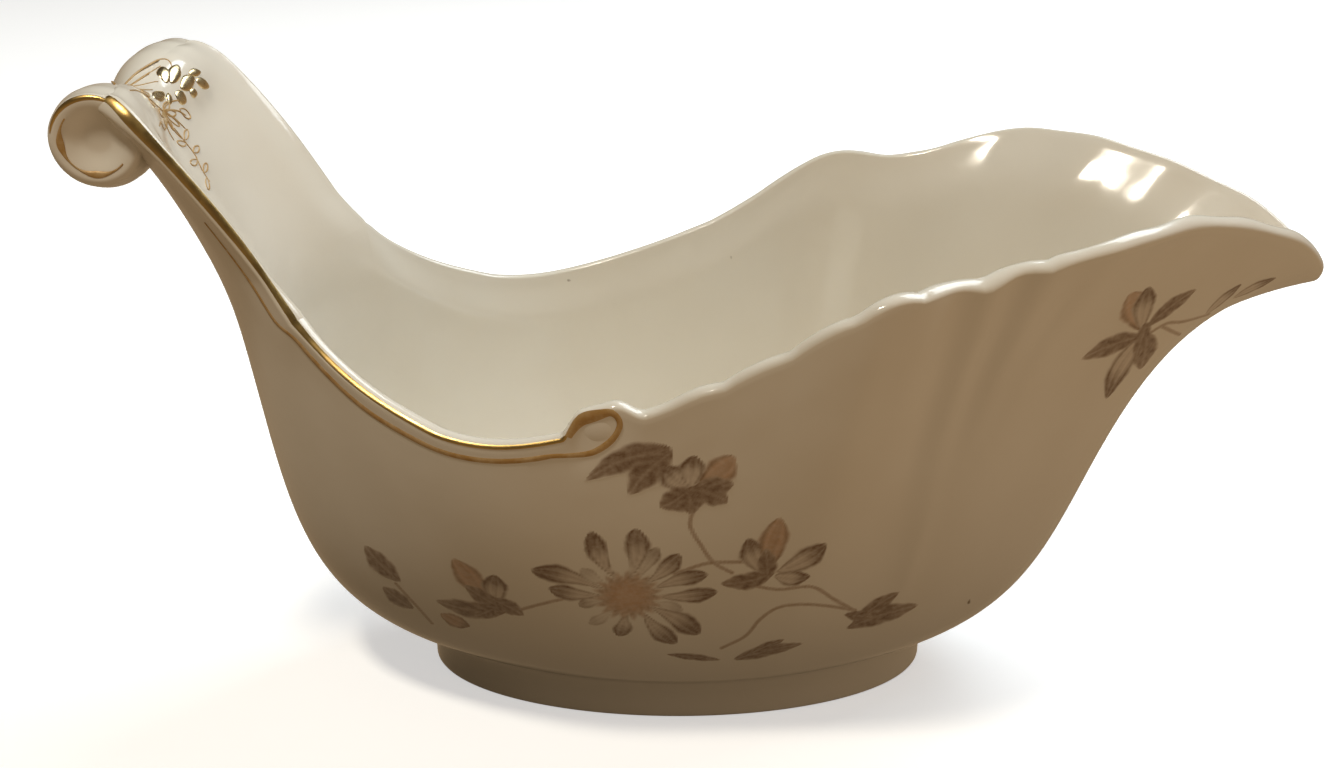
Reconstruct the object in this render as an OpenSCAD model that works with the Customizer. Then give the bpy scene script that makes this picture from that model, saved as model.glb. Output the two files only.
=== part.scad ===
// Footed porcelain sauce boat: an oval bowl with a flaring spout, and a tall back
// tongue that rolls over into a scroll handle. +X is the spout, -Y the decorated side.

/* [Bowl] */
// Reach of the spout tip from the middle of the foot
spout_reach = 109; // [104:0.5:116]
// Height of the lip at the spout tip
spout_tip_z = 73.8; // [71:0.2:79]
// Height of the rim at the top of the spout
crest_z = 89.6; // [86:0.2:96]
// Half width of the bowl at its widest, behind the spout
broad_half = 46.6; // [43:0.2:50]
// Half width of the bowl at the low saddle of the rim
saddle_half = 41.8; // [38:0.2:45]
// Height of the rim at the saddle
saddle_z = 59.8; // [56:0.2:65]
// Thickness of the wall
wall = 3.8; // [3:0.1:4.5]

/* [Handle] */
// Half width of the tongue where it leaves the bowl
root_half = 27; // [24:0.5:30]
// Half length of the scroll
scroll_half = 24.5; // [22:0.5:27]
// Radius of the scroll at its flared ends
scroll_end_r = 7.9; // [7:0.1:9]
// Radius of the scroll at its waist
scroll_waist_r = 5.2; // [4.5:0.1:6]

/* [Foot] */
// Half length of the foot at the bowl
foot_half_x = 46.3; // [44:0.1:48]
// Half width of the foot at the bowl
foot_half_y = 26.4; // [24:0.2:28]
// Height of the foot
foot_h = 8.8; // [7:0.1:10]
// Inset of the foot's base from its top
foot_taper = 1.5; // [0:0.1:2]
// Width of the foot's standing rim
foot_wall = 4; // [3:0.1:6]

/* [Gilding] */
// Thickness of the raised gilding
gilt = 0.25; // [0.2:0.05:0.5]

/* [Hidden] */
near = -1;
far = 1;
// The part's own origin is the middle of its length, this far from the foot's middle.
mid_x = 7;

columns = 100;
free_share = 0.8;
root_column = columns / 2 * free_share;
back_columns = columns / 2 - root_column;
levels = [0, 0.06, 0.13, 0.2, 0.28, 0.37, 0.46, 0.55, 0.64, 0.73, 0.82, 0.89, 0.94, 0.968, 0.982, 1];
top_level = len(levels) - 1;
tongue_rows = 14;
half = wall / 2;
scroll_sides = 32;
scroll_rings = 24;

// The rim's middle line, from the spout tip round one side to the root of the tongue.
root = [-58, root_half, 74.6];
stations = [
    [spout_reach, 0, spout_tip_z],
    [spout_reach - 1.2, 5.4, spout_tip_z + 3.8],
    [spout_reach - 9.5, 13, crest_z - 5.6],
    [81, 25.5, crest_z + 0.2],
    [64, 37.8, crest_z],
    [44, 40.2, crest_z - 5.6],
    [29, broad_half, crest_z - 7.4],
    [6, saddle_half + 2, saddle_z + 9.2],
    [-24, saddle_half, saddle_z],
    [-44, saddle_half - 7.2, saddle_z + 3.6],
    root
];
back_mid = [-72, 0, 70.4];
// How squarely the rim turns the corner from the root of the tongue to the middle of its back.
back_square = 2.4;
// Rough half length and half width of the bowl in plan.
plan_half = [95, 45];
// How much more squarely than a circle the wall faces sideways.
side_pull = 1.6;

// The foot sits a little forward of the middle of the belly.
foot_x = 1;
// How much more the foot draws in at its sides than at its ends.
foot_side_taper = 1.7;

// Oval control rings that swell the wall between foot and rim: front, back and side reach, height.
low_ring = [71, 69, 30, 13];
high_ring = [72, 69, 40, 35];
// How far, and at what lean from upright, the wall runs straight in to the rim,
// at five places from the spout tip round to the middle of the back.
run_in = [44, 28, 20, 20, 16];
lean_in = [78, 45, 12, 12, 10];

// Middle surface of the tongue: its mid line and its side line, each a Bezier curve.
tongue_mid = [back_mid, [-75.5, 0, 82], [-83, 0, 101.5], [-89.5, 0, 103]];
tongue_side = [root, [-66.5, root_half, 86.5], [-77.5, root_half + 2.5, 106.3], [-86.5, scroll_half, 107.2]];
scroll_mid = [-88.6, 100.2];
scroll_end = [-87.2, 102];
// The hand-rolled scroll runs a little out of square: the far end sits further back and up.
scroll_skew = [-0.4, 0.3];
// How far the ends of the scroll round over.
scroll_rounding = 0.8;
// The dish in each end of the scroll: its depth in the middle, then share of the radius and depth.
dish_depth = 1.6;
dish = [[0.45, 1.3], [0.6, 0.5], [0.72, 0]];

function ease(a, b, x) = let (t = min(1, max(0, (x - a) / (b - a)))) t * t * (3 - 2 * t);
function mix(a, b, t) = a * (1 - t) + b * t;
function unit(v) = v / norm(v);
function curve4(p, t) = let (o = 1 - t)
    o * o * o * p[0] + 3 * o * o * t * p[1] + 3 * o * t * t * p[2] + t * t * t * p[3];
function curve5(p, t) = let (o = 1 - t)
    pow(o, 4) * p[0] + 4 * pow(o, 3) * t * p[1] + 6 * o * o * t * t * p[2] + 4 * o * pow(t, 3) * p[3] + pow(t, 4) * p[4];
function along(values, s) = let (i = min(len(values) - 2, floor(s * (len(values) - 1))), f = s * (len(values) - 1) - i)
    mix(values[i], values[i + 1], ease(0, 1, f));

// A smooth line through the stations; before the first it mirrors, after the last it runs on.
function station(i) = i < 0 ? [stations[1].x, -stations[1].y, stations[1].z]
    : i < len(stations) ? stations[i] : 2 * root - stations[len(stations) - 2];
function free_rim(t) = let (
        x = min(1, max(0, t)) * (len(stations) - 1), i = min(len(stations) - 2, floor(x)), f = x - i,
        a = station(i - 1), b = station(i), c = station(i + 1), d = station(i + 2))
    0.5 * (2 * b + (c - a) * f + (2 * a - 5 * b + 4 * c - d) * f * f + (3 * b - a - 3 * c + d) * f * f * f);
function back_rim(v) = [back_mid.x + (root.x - back_mid.x) * pow(v, back_square), root.y * v,
    back_mid.z + (root.z - back_mid.z) * v * v];
function rim(s) = s <= free_share ? free_rim(s / free_share) : back_rim(1 - (s - free_share) / (1 - free_share));
// The angle of a rim point round an oval of the bowl's rough size.
function turn(r) = atan2(r.y / plan_half.y, r.x / plan_half.x);

// Five points that shape the wall from the foot up to the rim, at s round the half turn.
function control(s) = let (
        r = rim(s), a = turn(r), w = ease(-0.3, 0.3, cos(a)), lean = along(lean_in, s),
        out = unit([r.x, r.y * side_pull, 0]), up = out * sin(lean) + [0, 0, cos(lean)],
        across = out * cos(lean) - [0, 0, sin(lean)], edge = r + across * half)
    [
        [foot_x + foot_half_x * cos(a), foot_half_y * sin(a), foot_h],
        [mix(low_ring[1], low_ring[0], w) * cos(a), low_ring[2] * sin(a), low_ring[3]],
        [mix(high_ring[1], high_ring[0], w) * cos(a), high_ring[2] * sin(a), high_ring[3]],
        edge - up * along(run_in, s),
        edge
    ];
function outer(s, t) = curve5(control(s), t);
function normal_at(s, t) = let (
        e = 0.004, s0 = max(0, s - e), s1 = min(1, s + e), t0 = max(0, t - e), t1 = min(1, t + e),
        d = cross(outer(s1, t) - outer(s0, t), outer(s, t1) - outer(s, t0)), n = unit(d))
    s <= 0 || s >= 1 ? unit([n.x, 0, n.z]) : n;
function inner(s, t) = outer(s, t) - wall * normal_at(s, t);

// Column j runs round the whole bowl, out along the far side and back along the near side.
function share(j) = let (k = (j % columns + columns) % columns) k <= columns / 2 ? 2 * k / columns : 2 - 2 * k / columns;
function flip(p, j) = j <= columns / 2 ? p : [p.x, -p.y, p.z];
outer_wall = [for (t = levels) [for (j = [0 : columns - 1]) flip(outer(share(j), t), j)]];
inner_wall = [for (t = levels) [for (j = [0 : columns - 1]) flip(inner(share(j), t), j)]];
// A rounded lip on the free rim, flat where the tongue is joined on.
lip = [for (j = [0 : columns - 1]) let (
        o = outer_wall[top_level][j], i = inner_wall[top_level][j], s = share(j),
        below = outer_wall[top_level - 1][j], soft = 1 - ease(free_share - 0.04, free_share, s))
    mix(o, i, 0.5) + unit(o - below) * wall * 0.3 * soft];
function shrink(ring, k, z) = [for (p = ring) [p.x * k, p.y * k, mix(z, p.z, k)]];
floor_z = foot_h + wall * 0.95;

function flatten(rows) = [for (row = rows) for (p = row) p];
// Faces between successive rings of n points, closed round, from ring 0 to ring m.
function ring_faces(m, n) = [for (i = [0 : m - 1]) for (j = [0 : n - 1]) let (
        a = i * n + j, b = i * n + (j + 1) % n, c = a + n, d = b + n)
    each [[a, c, b], [b, c, d]]];

// A closed skin through a list of equal rings, with a point at each end.
module skin(first, rings, last) {
    n = len(rings[0]);
    m = len(rings);
    points = concat(flatten(rings), [first, last]);
    caps = concat([for (j = [0 : n - 1]) [m * n, j, (j + 1) % n]],
        [for (j = [0 : n - 1]) [m * n + 1, (m - 1) * n + (j + 1) % n, (m - 1) * n + j]]);
    polyhedron(points, concat(ring_faces(m - 1, n), caps), convexity = 8);
}

module bowl() {
    rings = concat(outer_wall, [lip], [for (i = [top_level : -1 : 0]) inner_wall[i]],
        [shrink(inner_wall[0], 0.8, floor_z), shrink(inner_wall[0], 0.4, floor_z)]);
    color("antiquewhite") translate([-mid_x, 0, 0])
        skin([foot_x, 0, foot_h], rings, [0, 0, floor_z]);
}

function oval(r, z) = [for (j = [0 : columns - 1]) [r.x * cos(360 * j / columns), r.y * sin(360 * j / columns), z]];

// The foot: an open oval ring, drawn in from the bowl to its standing rim.
module foot_ring() {
    top = [foot_half_x, foot_half_y];
    base = top - foot_taper * [1, foot_side_taper];
    inside = base - foot_wall * [1, 1];
    rings = [
        oval(inside - [1, 1], foot_h), oval(inside, 1), oval(inside + [1, 1], 0),
        oval(base - [1, 1], 0), oval(base, 1), oval(mix(base, top, 0.25), foot_h * 0.5), oval(top, foot_h)
    ];
    m = len(rings) - 1;
    close = [for (j = [0 : columns - 1]) let (k = (j + 1) % columns, a = m * columns)
        each [[a + j, j, k], [a + j, k, a + k]]];
    color("tan") translate([foot_x - mid_x, 0, 0])
        polyhedron(flatten(rings), concat(ring_faces(m, columns), close), convexity = 4);
}

// Tongue: v runs across from -1 to 1, q runs up from the bowl to the scroll.
function tongue_point(q, v) = let (w = abs(v), p = mix(back_square, 2, q),
        a = curve4(tongue_mid, q), b = curve4(tongue_side, q))
    [mix(a.x, b.x, pow(w, p)), b.y * v, mix(a.z, b.z, v * v)];
function tongue_normal(q, v) = let (e = 0.01, q0 = max(0, q - e), q1 = min(1, q + e),
        v0 = max(-1, v - e), v1 = min(1, v + e))
    unit(cross(tongue_point(q1, v) - tongue_point(q0, v), tongue_point(q, v1) - tongue_point(q, v0)));
// The seam with the bowl, column by column, outside and inside.
function seam_column(v) = columns / 2 - round(v * back_columns);
function tongue_face(q, v, side) = let (
        seam = side > 0 ? outer_wall[top_level][seam_column(v)] : inner_wall[top_level][seam_column(v)],
        base = tongue_point(q, v), free = base + side * half * tongue_normal(q, v),
        start = seam - tongue_point(0, v) - side * half * tongue_normal(0, v))
    free + start * (1 - ease(0, 0.5, q));

module tongue_body() {
    m = tongue_rows;
    vs = [for (k = [-back_columns : back_columns]) k / back_columns];
    rings = [for (i = [0 : m]) concat(
        [for (v = vs) tongue_face(i / m, v, 1)],
        [for (k = [len(vs) - 1 : -1 : 0]) tongue_face(i / m, vs[k], -1)])];
    n = len(rings[0]);
    nv = len(vs);
    foot_cap = [for (k = [0 : nv - 2]) each [[k, k + 1, n - 1 - k], [k + 1, n - 2 - k, n - 1 - k]]];
    top_cap = [for (f = foot_cap) [f[0] + m * n, f[2] + m * n, f[1] + m * n]];
    polyhedron(flatten(rings), [for (f = concat(ring_faces(m, n), foot_cap, top_cap)) [f[0], f[2], f[1]]], convexity = 6);
}

function scroll_r(w) = mix(scroll_waist_r, scroll_end_r, ease(0, 0.62, w)) - scroll_rounding * ease(0.75, 1, w);
function scroll_centre(v) = mix(scroll_mid, scroll_end, v * v) + v * scroll_skew;
function scroll_ring(v, k, y) = let (c = scroll_centre(v), r = scroll_r(abs(v)) * k)
    [for (j = [0 : scroll_sides - 1]) let (a = 360 * j / scroll_sides) [c.x + r * cos(a), y, c.y + r * sin(a)]];

// The dish in one end of the scroll, from its middle out.
function scroll_dish(side) = [for (d = dish) scroll_ring(side, d[0], side * (scroll_half - d[1]))];

// The scroll: an hourglass roll whose ends are dished.
module scroll_body() {
    body = [for (i = [0 : scroll_rings]) let (v = 1 - 2 * i / scroll_rings) scroll_ring(v, 1, v * scroll_half)];
    rings = concat(scroll_dish(far), body, [for (k = [len(dish) - 1 : -1 : 0]) scroll_dish(near)[k]]);
    tip = [for (side = [far, near]) let (c = scroll_centre(side)) [c.x, side * (scroll_half - dish_depth), c.y]];
    skin(tip[0], rings, tip[1]);
}

module tongue() {
    color("antiquewhite") translate([-mid_x, 0, 0]) difference() {
        tongue_body();
        scroll_body();
    }
}

module scroll() {
    color("antiquewhite") translate([-mid_x, 0, 0]) scroll_body();
}

// Raised C scroll on the near rim where the two gilt lines meet.
knob_at = [-10.5, -44.6, 63.8];
knob_r = 3.5;
knob_lean = 8;
// Its half profile: radius from the middle, and height off the wall.
knob_profile = [[0, -0.6], [knob_r, -0.6], [knob_r, 0.5], [knob_r - 0.9, 1.4], [knob_r - 1.8, 0.9], [0, 0.9]];
module rim_scroll() {
    color("burlywood") translate(knob_at - [mid_x, 0, 0]) rotate([90 - knob_lean, 0, 0])
        rotate_extrude($fn = 48) polygon(knob_profile);
}

// A bar through four-cornered rings, closed at both ends.
module bar(rings, flipped) {
    m = len(rings) - 1;
    faces = concat(ring_faces(m, 4), [[0, 1, 3], [1, 2, 3]],
        [[m * 4 + 1, m * 4, m * 4 + 3], [m * 4 + 1, m * 4 + 3, m * 4 + 2]]);
    polyhedron(flatten(rings), flipped ? [for (f = faces) [f[0], f[2], f[1]]] : faces, convexity = 6);
}

// The rim's gilt line lies on the outer half of the lip, and crosses to its inner half at the tongue.
function crossing(j) = ease(free_share - 0.12, free_share, share(j));
lip_low = [for (j = [0 : columns - 1]) mix(outer_wall[top_level][j], lip[j], crossing(j))];
lip_high = [for (j = [0 : columns - 1]) mix(lip[j], inner_wall[top_level][j], crossing(j))];
// Columns between the C scroll and the root of the tongue.
gilt_spread = [30, root_column];

// Cross sections of a gilt line between two rows of points round the bowl.
function gilt_rings(low_row, high_row, last, side) = [for (k = [gilt_spread[0] : last]) let (
        j = side > 0 ? k : columns - k, low = low_row[j], high = high_row[j],
        push = gilt * unit(cross(low_row[j + 1] - low_row[j - 1], high - low)))
    [low, high, high + push, low + push]];

// Cross sections of the gilt line up the inner half of the tongue's side edge, from the root at row 0.
function edge_rings(side) = [for (i = [0 : tongue_rows - 2]) let (
        q = i / tongue_rows, high = tongue_face(q, side, -1), low = mix(high, tongue_face(q, side, 1), 0.5),
        push = gilt * (i == 0 ? unit([0, side, 1]) : [0, side, 0]))
    [low, high, high + push, low + push]];

module gilt_rim(side) {
    color("goldenrod") translate([-mid_x, 0, 0]) union() {
        bar(concat(gilt_rings(lip_low, lip_high, root_column - 1, side), edge_rings(side)), side < 0);
        bar(gilt_rings(outer_wall[top_level - 2], outer_wall[top_level - 1], root_column, side), side < 0);
    }
}

// The gilt ring on one end of the scroll.
volute_r = scroll_end_r * 0.78;
volute_line = 0.35;
module gilt_volute(side) {
    c = scroll_centre(side);
    color("goldenrod") translate([c.x - mid_x, side * scroll_half, c.y]) rotate([90, 0, 0])
        rotate_extrude($fn = 48) translate([volute_r, 0]) circle(r = volute_line, $fn = 16);
}

bowl();
foot_ring();
tongue();
scroll();
rim_scroll();
gilt_rim(near);  // gilt_rim_near
gilt_rim(far);  // gilt_rim_far
gilt_volute(near);  // gilt_volute_near
gilt_volute(far);  // gilt_volute_far
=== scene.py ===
"""Footed porcelain sauce boat with gilt lines and printed flowers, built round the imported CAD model.

Shapes are worked out in millimetres from the middle of the foot, with +X the spout and -Y the
decorated side, and become metres in the row frame when a mesh is made.
"""
import math

import bpy
import numpy as np
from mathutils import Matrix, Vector


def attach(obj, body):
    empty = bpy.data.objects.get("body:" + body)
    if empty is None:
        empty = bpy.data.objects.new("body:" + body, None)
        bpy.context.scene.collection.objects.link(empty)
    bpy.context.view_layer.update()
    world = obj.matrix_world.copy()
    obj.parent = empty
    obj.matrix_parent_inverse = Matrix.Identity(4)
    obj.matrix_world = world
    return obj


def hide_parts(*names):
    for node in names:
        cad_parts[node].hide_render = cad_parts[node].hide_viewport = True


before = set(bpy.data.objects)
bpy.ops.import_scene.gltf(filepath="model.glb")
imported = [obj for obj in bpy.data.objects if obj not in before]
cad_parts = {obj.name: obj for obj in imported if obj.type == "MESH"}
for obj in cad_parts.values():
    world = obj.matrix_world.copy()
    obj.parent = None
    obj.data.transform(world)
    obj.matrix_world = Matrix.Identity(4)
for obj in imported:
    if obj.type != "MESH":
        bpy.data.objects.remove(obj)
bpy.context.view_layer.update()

MM = 0.001
MID_X = 7
NEAR, FAR = -1, 1
SIDES = ((NEAR, "near"), (FAR, "far"))

# ---- shape values, as in the CAD
WALL = 3.8
HALF = WALL / 2
FREE_SHARE = 0.8
FOOT_X = 1.0
FOOT_HALF = np.array([46.3, 26.4])
FOOT_H = 8.8
FOOT_TAPER = np.array([1.5, 2.55])
FOOT_WALL = 4.0
FLOOR_Z = FOOT_H + WALL * 0.95
ROOT = np.array([-58, 27, 74.6])
STATIONS = np.array([
    [109, 0, 73.8], [107.8, 5.4, 77.6], [99.5, 13, 84], [81, 25.5, 89.8], [64, 37.8, 89.6],
    [44, 40.2, 84], [29, 46.6, 82.2], [6, 43.8, 69], [-24, 41.8, 59.8], [-44, 34.6, 63.4], ROOT])
BACK_MID = np.array([-72, 0, 70.4])
BACK_SQUARE = 2.4
PLAN_HALF = (95, 45)
SIDE_PULL = 1.6
LOW_RING = (71, 69, 30, 13)
HIGH_RING = (72, 69, 40, 35)
RUN_IN = (44, 28, 20, 20, 16)
LEAN_IN = (78, 45, 12, 12, 10)
TONGUE_MID = np.array([BACK_MID, [-75.5, 0, 82], [-83, 0, 101.5], [-89.5, 0, 103]])
TONGUE_SIDE = np.array([ROOT, [-66.5, 27, 86.5], [-77.5, 29.5, 106.3], [-86.5, 24.5, 107.2]])
SCROLL_MID = np.array([-88.6, 100.2])
SCROLL_END = np.array([-87.2, 102])
SCROLL_SKEW = np.array([-0.4, 0.3])
SCROLL_HALF = 24.5
SCROLL_WAIST_R = 5.2
SCROLL_END_R = 7.9
SCROLL_DISH = 1.7

# ---- how finely the meshes are cut
FREE_COLUMNS = 160
SCROLL_COLUMNS = 61
BACK_SHARES = np.concatenate([np.linspace(0, 0.9, 28), [0.92, 0.94, 0.955, 0.968, 0.98, 0.989, 0.996, 1]])
WALL_ROWS = 72
LIP_ROWS = 9
FLOOR_RINGS = 12
TONGUE_ROWS = 56


# ---- small helpers
def ease(a, b, x):
    t = np.clip((x - a) / (b - a), 0, 1)
    return t * t * (3 - 2 * t)


def mix(a, b, t):
    return a * (1 - t) + b * t


def unit(v):
    return v / np.linalg.norm(v, axis=-1, keepdims=True)


def hump(x, middle, width):
    return np.exp(-((x - middle) / width) ** 2)


def paired(a, b):
    """Both as arrays of floats of one shape."""
    return np.broadcast_arrays(np.asarray(a, float), np.asarray(b, float))


def bezier(points, t):
    """Point at t on the curve with these control points, for whole arrays at once."""
    t = np.asarray(t, float)[..., None]
    points = list(points)
    while len(points) > 1:
        points = [mix(p, q, t) for p, q in zip(points, points[1:])]
    return points[0]


def along(values, s):
    """Eased value at s, where the values are evenly spaced from 0 to 1."""
    values = np.array(values, float)
    x = s * (len(values) - 1)
    i = np.minimum(x.astype(int), len(values) - 2)
    return mix(values[i], values[i + 1], ease(0, 1, x - i))


def catmull_rom(a, b, c, d, f):
    """The point at f on a smooth line's span from b to c."""
    return 0.5 * (2 * b + (c - a) * f + (2 * a - 5 * b + 4 * c - d) * f ** 2
                  + (3 * b - a - 3 * c + d) * f ** 3)


def cross_slopes(face, a, b, e, a_low=0, b_low=0):
    """The cross product of a surface's slopes along a and b, measured over e either way."""
    da = face(np.minimum(a + e, 1), b) - face(np.maximum(a - e, a_low), b)
    db = face(a, np.minimum(b + e, 1)) - face(a, np.maximum(b - e, b_low))
    return np.cross(da, db)


def arc(centre, radius, angles, y):
    """Points of an arc in an upright plane along the boat, at y across it."""
    return np.stack([centre[0] + radius * np.cos(angles), 0 * angles + y,
                     centre[1] + radius * np.sin(angles)], -1)


# ---- the bowl's surface
def free_rim(t):
    """The free rim's middle line, a smooth line through the stations."""
    line = np.vstack([STATIONS[1] * [1, -1, 1], STATIONS, 2 * ROOT - STATIONS[-2]])
    x = np.clip(t, 0, 1) * (len(STATIONS) - 1)
    i = np.minimum(x.astype(int), len(STATIONS) - 2)
    f = (x - i)[..., None]
    return catmull_rom(*(line[i + k] for k in range(4)), f)


def rim(s):
    """The rim's middle line: the free rim, then the line that the tongue stands on."""
    v = np.clip((1 - s) / (1 - FREE_SHARE), 0, 1)
    reach = mix(BACK_MID[0], ROOT[0], v ** BACK_SQUARE)
    back = np.stack([reach, ROOT[1] * v, mix(BACK_MID[2], ROOT[2], v * v)], -1)
    return np.where((s <= FREE_SHARE)[..., None], free_rim(s / FREE_SHARE), back)


def smooth_wall(s, t):
    """The plain outer wall on the far side: s runs from spout to back, t from foot to rim."""
    s, t = paired(s, t)
    r = rim(s)
    a = np.arctan2(r[..., 1] / PLAN_HALF[1], r[..., 0] / PLAN_HALF[0])
    w = ease(-0.3, 0.3, np.cos(a))
    lean = np.radians(along(LEAN_IN, s))[..., None]
    out = unit(np.stack([r[..., 0], r[..., 1] * SIDE_PULL, 0 * a], -1))
    z = np.array([0, 0, 1.0])
    edge = r + (out * np.cos(lean) - z * np.sin(lean)) * HALF
    up = out * np.sin(lean) + z * np.cos(lean)
    rings = [np.stack([mix(k[1], k[0], w) * np.cos(a), k[2] * np.sin(a), 0 * a + k[3]], -1)
             for k in (LOW_RING, HIGH_RING)]
    foot = np.stack([FOOT_X + FOOT_HALF[0] * np.cos(a), FOOT_HALF[1] * np.sin(a), 0 * a + FOOT_H], -1)
    return bezier([foot, *rings, edge - up * along(RUN_IN, s)[..., None], edge], t)


def wall_normal(s, t):
    s, t = paired(s, t)
    n = cross_slopes(smooth_wall, s, t, 0.004)
    # On the boat's middle line the normal has no part across.
    n[..., 1] *= (s > 0) & (s < 1)
    return unit(n)


# Relief: the scallops' spacing, and where along the boat the moulded features stand.
SCALLOP = 9.3
FLUTES_X = 46
RIDGE_X = 45
DIMPLE_X = 62
# The rim's step over the C scroll, its scallops, and how much the lip draws in from the wall's thickness.
STEP_RISE = 3.0
SCALLOP_RISE = 0.95
LIP_DRAW = 1.2
TONGUE_EDGE_DRAW = 0.42


def scallops(x):
    """Rounded scallops along the rim between the C scroll and the spout, from 0 in the nicks to 1."""
    return np.abs(np.sin(math.pi * (x + 2) / SCALLOP)) ** 0.6 * ease(-3, 6, x) * (1 - ease(50, 60, x))


def on_back(s):
    """1 below the tongue, 0 along the free rim."""
    return ease(FREE_SHARE - 0.03, FREE_SHARE + 0.03, s)


def outside_relief(s, t):
    """Height of the moulded relief on the outside, in millimetres."""
    x = rim(s)[..., 0]
    waves = np.cos(2 * math.pi * (x - RIDGE_X - 6 * (1 - t)) / SCALLOP)
    flutes = 0.4 * waves * hump(x, FLUTES_X, 13) * ease(0.5, 0.9, t)
    folds = 0.3 * (scallops(x) - 0.3) * ease(0.84, 1, t)
    ridge = 0.42 * hump(x, RIDGE_X + 13 * (1 - t), 3.4) * ease(0.2, 0.5, t)
    dimple = -0.8 * hump(x, DIMPLE_X, 3.4) * hump(t, 0.9, 0.07)
    return flutes + folds + ridge + dimple


def inside_relief(s, t):
    """Shallow waves inside the spout, the lip's thinner edge, and the step where the tongue was luted on."""
    x = rim(s)[..., 0]
    in_spout = ease(58, 72, x) * (1 - ease(98, 108, x)) * ease(0.6, 0.95, t)
    waves = 0.22 * np.sin(2 * math.pi * x / 11.5) * in_spout
    thinner = LIP_DRAW * ease(0.88, 1, t) * (1 - on_back(s))
    luting = -0.7 * ease(0.84, 0.97, t) * on_back(s)
    return waves + thinner + luting


def rim_lift(s, t, side):
    """The near rim steps up over the C scroll, and goes on in scallops."""
    x = rim(s)[..., 0]
    step = STEP_RISE * ease(-15.8, -12.8, x) * (1 - ease(-8.5, -3.5, x))
    return (step + SCALLOP_RISE * scallops(x)) * ease(0.9, 1, t) * (side < 0)


def wall_face(u, t, inside=False):
    """A point of the finished wall. u is the share round from the spout, below zero on the near side."""
    u, t = paired(u, t)
    s, side = np.abs(u), np.where(u < 0, NEAR, FAR)
    relief = inside_relief(s, t) - WALL if inside else outside_relief(s, t)
    p = smooth_wall(s, t) + wall_normal(s, t) * relief[..., None]
    p[..., 2] += rim_lift(s, t, side)
    p[..., 1] *= side
    return p


def share_at(x):
    """The share round the rim where it passes x, on the free rim behind the spout."""
    s = np.linspace(0.3, FREE_SHARE, 400)
    return float(np.interp(-x, -rim(s)[:, 0], s))


# Columns run round the bowl from the spout tip, out along the far side and back along the near side.
# They lie closer together at the C scroll and at the root of the tongue.
free_shares = np.unique(np.concatenate([np.linspace(0, FREE_SHARE, FREE_COLUMNS + 1),
                                        np.linspace(share_at(2), share_at(-22), SCROLL_COLUMNS)]))
half_shares = np.concatenate([free_shares[:-1], 1 - (1 - FREE_SHARE) * BACK_SHARES[::-1]])
columns = np.concatenate([half_shares, -half_shares[-2:0:-1]])
root_at = len(free_shares) - 1
back = slice(root_at, root_at + 2 * len(BACK_SHARES) - 1)
across = np.concatenate([BACK_SHARES[::-1], -BACK_SHARES[1:]])
levels = np.linspace(0, 1, WALL_ROWS + 1)


# ---- the tongue's surface
def tongue_middle(q, v):
    """The middle of the tongue's thickness: q runs up from the bowl, v across from -1 to 1."""
    a, b, w = bezier(TONGUE_MID, q), bezier(TONGUE_SIDE, q), np.abs(v)
    x = mix(a[..., 0], b[..., 0], w ** mix(BACK_SQUARE, 2, q))
    return np.stack([x, b[..., 1] * v, mix(a[..., 2], b[..., 2], v * v)], -1)


def tongue_normal(q, v):
    return unit(cross_slopes(tongue_middle, *paired(q, v), 0.01, b_low=-1))


def scroll_centre(v):
    """The scroll's axis in (x, z), drawn back and down at its waist."""
    v = np.asarray(v, float)[..., None]
    return mix(SCROLL_MID, SCROLL_END, v * v) + v * SCROLL_SKEW


def scroll_radius(v):
    """Thin at the waist, full towards the ends, and a little drawn in at the very ends."""
    w = np.abs(v)
    return mix(SCROLL_WAIST_R, SCROLL_END_R, ease(0, 0.62, w)) - 0.8 * ease(0.75, 1, w)


def tongue_face(q, v, side, seam):
    """The tongue's outer (side 1) or inner (side -1) face, starting from the bowl's seam points."""
    q, v = paired(q, v)
    thin_edge = 1 - TONGUE_EDGE_DRAW * ease(0.8, 1, np.abs(v)) * ease(0, 0.15, q)
    thick = thin_edge[..., None] * HALF
    face = tongue_middle(q, v) + side * thick * tongue_normal(q, v)
    start = seam - tongue_face_start(v, side)
    face = face + start * (1 - ease(0, 0.5, q))[..., None]
    if side < 0:
        # The inner face rises clear of the scroll and runs on over its top without a step.
        c = scroll_centre(v)
        n = unit(-tongue_normal(1.0, v) * [1, 0, 1])
        end = c + n[..., [0, 2]] * (scroll_radius(v)[..., None] - 0.04)
        last = tongue_middle(1.0, v) - thick * tongue_normal(1.0, v)
        face[..., [0, 2]] += (end - last[..., [0, 2]]) * ease(0.6, 1, q)[..., None]
        out = face[..., [0, 2]] - c
        far_out = np.linalg.norm(out, axis=-1)
        clear = scroll_radius(v) + 0.05
        pushed = 0.5 * (far_out + clear + np.sqrt((far_out - clear) ** 2 + 0.5))
        reach = mix(pushed, far_out, ease(0.93, 1, q))
        face[..., [0, 2]] = c + out / far_out[..., None] * reach[..., None]
    # It draws in by its rounded edge, and at the top it tucks behind the ends of the scroll.
    face[..., 1] *= 1 - 0.03 * ease(0, 0.25, q) - 0.04 * ease(0.8, 1, q)
    return face


def tongue_face_start(v, side):
    return tongue_middle(0.0, v) + side * HALF * tongue_normal(0.0, v)


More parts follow.
